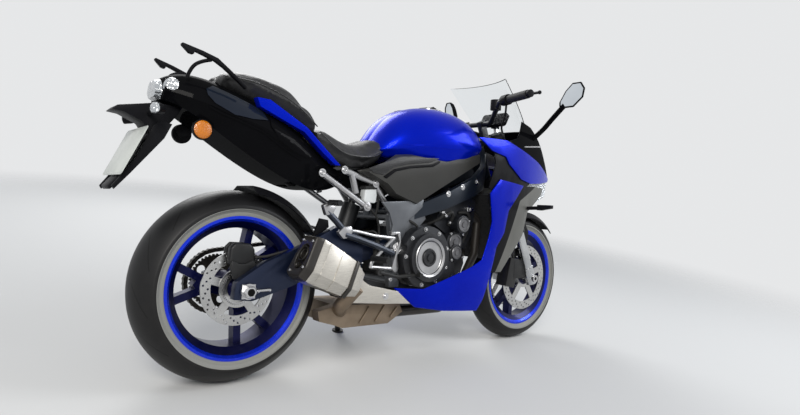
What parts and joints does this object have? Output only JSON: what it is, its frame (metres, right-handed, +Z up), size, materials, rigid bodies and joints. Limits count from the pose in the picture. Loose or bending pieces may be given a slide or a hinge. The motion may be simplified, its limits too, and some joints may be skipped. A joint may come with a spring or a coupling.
{
  "type": "sport touring motorcycle",
  "caption": "Sport touring motorcycle with a half open fairing, forked cast wheels and a side muffler, parked on its side stand; wheels, steering, stand and fuel cap move.",
  "frame": {"origin": "middle of the parked machine's bounding box, on the ground", "axes": "+X forwards, +Y to the rider's left, +Z up; the machine leans to +Y on its side stand"},
  "size_m": [2.152, 0.8552, 1.2335],
  "materials": {
    "blue_paint": "gloss metallic",
    "black_plastic": "satin",
    "gloss_black": "gloss",
    "seat_vinyl": "fine grain",
    "frame_metal": "satin",
    "engine_black": "cast satin",
    "bright_alloy": "satin",
    "steel": "brushed",
    "exhaust_steel": "brushed",
    "chrome": "polished",
    "tyre_rubber": "matte",
    "rubber": "matte",
    "clear_lens": "clear",
    "clear_screen": "clear",
    "amber_lens": "gloss",
    "mirror": "polished",
    "plate_white": "gloss"
  },
  "bodies": {
    "chassis": {"chain": "steel", "cockpit_panels": "gloss_black", "cowl_inner_panels": "black_plastic", "engine_block": "engine_black", "engine_covers": "engine_black", "exhaust_chamber": "exhaust_steel", "filler_ring": "bright_alloy", "footpegs_pedals": "bright_alloy", "footrest_hangers": "bright_alloy", "rear_brake_hose": "rubber", "front_signals": "black_plastic", "fuel_tank": "blue_paint", "grab_rails": "black_plastic", "headlight": "clear_lens", "instrument_panel": "black_plastic", "main_frame": "frame_metal", "mirror_glass": "mirror", "mirrors": "black_plastic", "muffler": "exhaust_steel", "muffler_cap": "black_plastic", "nose_cowl": "blue_paint", "number_plate": "plate_white", "pillion_seat": "seat_vinyl", "plate_holder": "black_plastic", "radiator": "black_plastic", "rear_axle": "steel", "rear_caliper": "engine_black", "rear_hugger": "black_plastic", "rear_shock": "engine_black", "rear_signals": "amber_lens", "rear_subframe": "steel", "rider_seat": "seat_vinyl", "side_cowls": "blue_paint", "stand_bracket": "gloss_black", "swingarm": "gloss_black", "tail_cowl": "gloss_black", "tail_light": "clear_lens", "tail_side_strips": "blue_paint", "tank_side_covers": "black_plastic", "windscreen": "clear_screen"},
    "steering": {"fork_clamps": "engine_black", "fork_legs": "chrome", "fork_tubes": "gloss_black", "front_axle": "steel", "front_calipers": "engine_black", "front_mudguard": "gloss_black", "grips": "rubber", "hand_controls": "black_plastic", "handlebar": "gloss_black", "front_brake_hoses": "rubber"},
    "front_wheel": {"front_rim": "blue_paint", "front_tyre": "tyre_rubber", "front_discs": "steel"},
    "rear_wheel": {"rear_rim": "blue_paint", "rear_tyre": "tyre_rubber", "rear_disc": "steel", "rear_sprocket": "steel"},
    "side_stand": {"side_stand": "gloss_black"},
    "fuel_cap": {"fuel_cap": "bright_alloy"}
  },
  "joints": [
    {"name": "steering_turn", "type": "hinge", "parent": "chassis", "child": "steering", "pos_m": [0.48846, -0.0405, 0.82397], "axis": [-0.4226, 0.1183, 0.8986], "range_deg": [-28, 28]},
    {"name": "front_wheel_spin", "type": "hinge", "parent": "steering", "child": "front_wheel", "pos_m": [0.776, -0.10982, 0.29743], "axis": [0, 0.9914, -0.1305], "continuous": true},
    {"name": "rear_wheel_spin", "type": "hinge", "parent": "chassis", "child": "rear_wheel", "pos_m": [-0.684, -0.10838, 0.30834], "axis": [0, 0.9914, -0.1305], "continuous": true},
    {"name": "side_stand_fold", "type": "hinge", "parent": "chassis", "child": "side_stand", "pos_m": [-0.16, 0.03848, 0.21336], "axis": [0.2164, 0.7995, 0.5604], "range_deg": [0, 108]},
    {"name": "fuel_cap_lift", "type": "hinge", "parent": "chassis", "child": "fuel_cap", "pos_m": [0.201, -0.01571, 1.01226], "axis": [0, 0.9914, -0.1305], "range_deg": [0, 95]}
  ]
}
